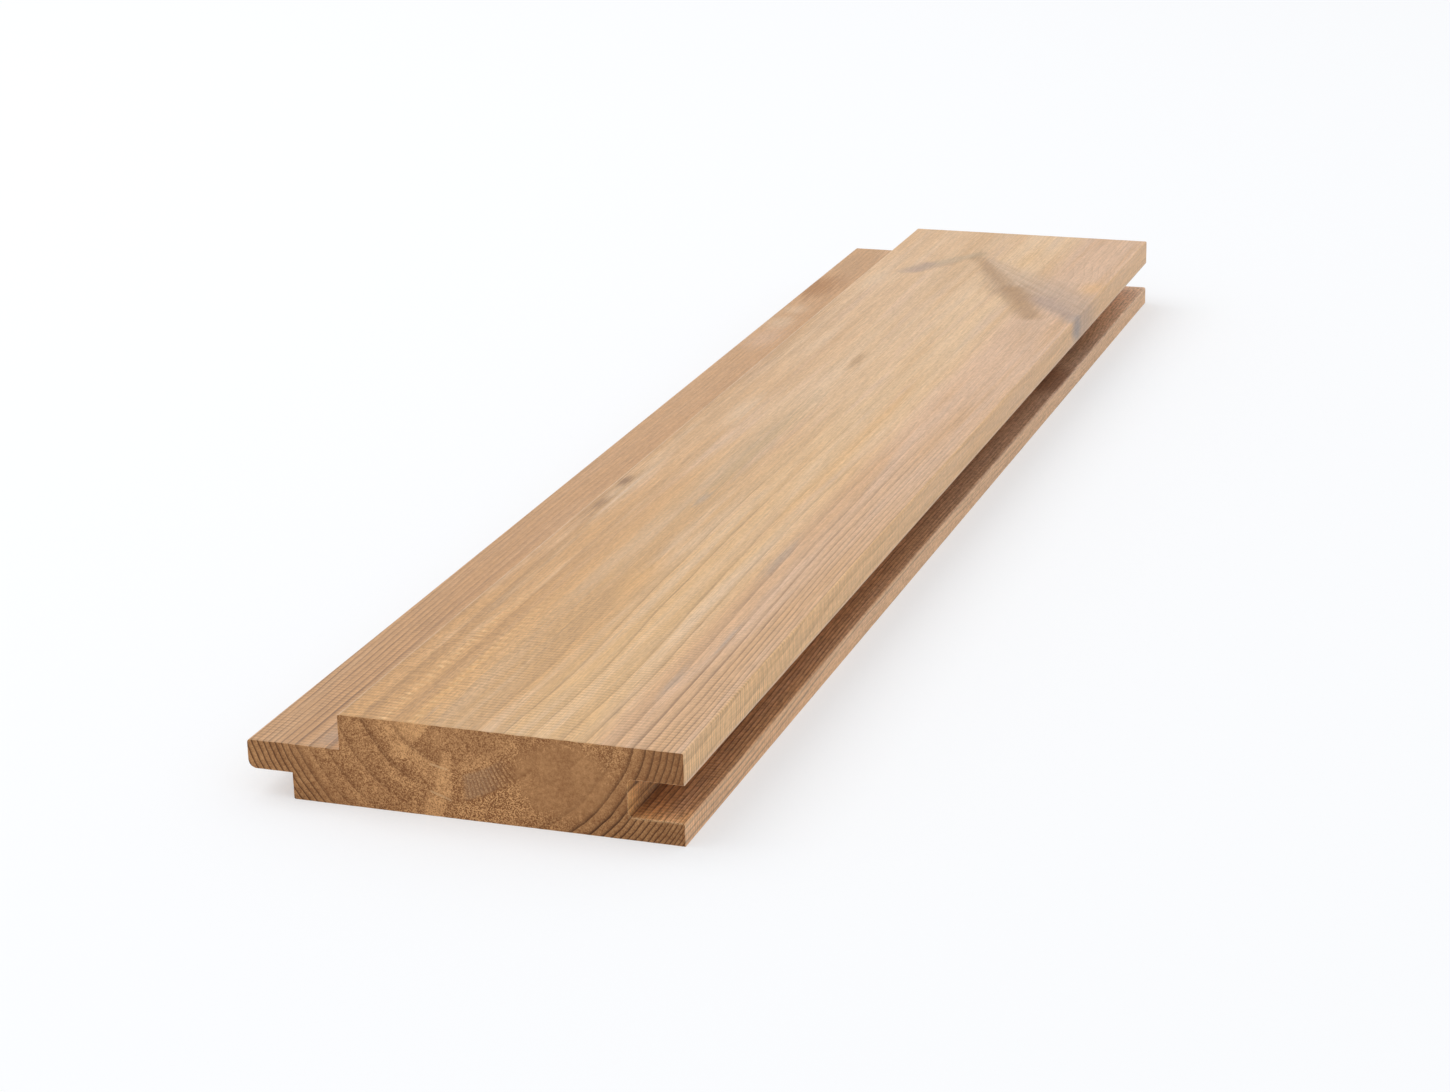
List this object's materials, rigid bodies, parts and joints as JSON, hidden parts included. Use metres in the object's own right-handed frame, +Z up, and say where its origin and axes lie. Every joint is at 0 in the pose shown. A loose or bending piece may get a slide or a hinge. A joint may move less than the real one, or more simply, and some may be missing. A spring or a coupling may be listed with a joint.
{
  "type": "tongue and groove board",
  "caption": "Planed timber cladding board with a tongue and a wide shadow-gap rebate along one edge and a matching groove between two lips along the other, cut square at both ends.",
  "frame": {"origin": "under the middle of the board: the centre of its overall box, on the back face that it lies on", "axes": "+X across the board from the tongue to the groove, +Y along the grain, +Z up through the face"},
  "size_m": [0.096, 0.43, 0.02],
  "materials": {
    "heat_treated_pine": "planed, unfinished, matt, with cathedral grain on the face and sawn end grain"
  },
  "bodies": {
    "root": {"board": "heat_treated_pine"}
  },
  "joints": []
}
